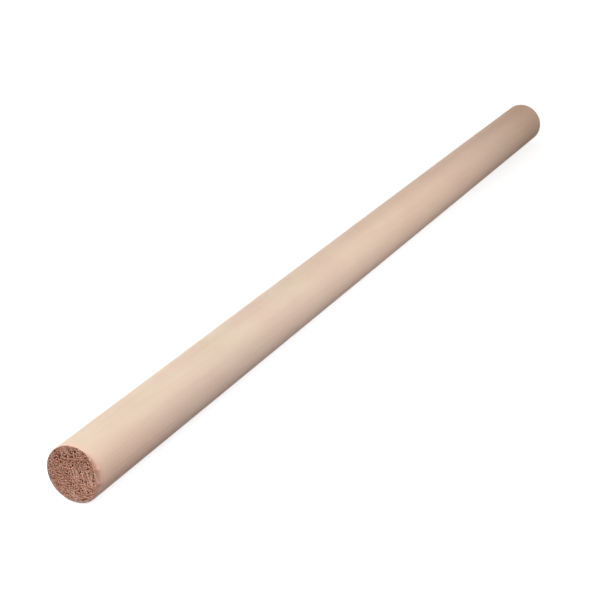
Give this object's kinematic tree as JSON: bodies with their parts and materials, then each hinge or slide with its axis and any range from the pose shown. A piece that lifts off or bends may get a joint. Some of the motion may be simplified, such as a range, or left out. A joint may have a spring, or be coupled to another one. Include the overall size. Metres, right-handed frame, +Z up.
{
  "type": "wooden dowel rod",
  "caption": "Straight round dowel rod of bare pale hardwood, sawn square at both ends, for pins, rails, axles, pegs and light frames.",
  "frame": {"origin": "middle of the rod's axis, halfway between the two sawn ends", "axes": "+X along the rod's axis, from the end nearer in the picture to the far end; +Z up as the rod lies"},
  "size_m": [0.3, 0.014, 0.014],
  "materials": {
    "bare_hardwood": "matte"
  },
  "bodies": {
    "root": {"dowel_rod": "bare_hardwood"}
  },
  "joints": []
}
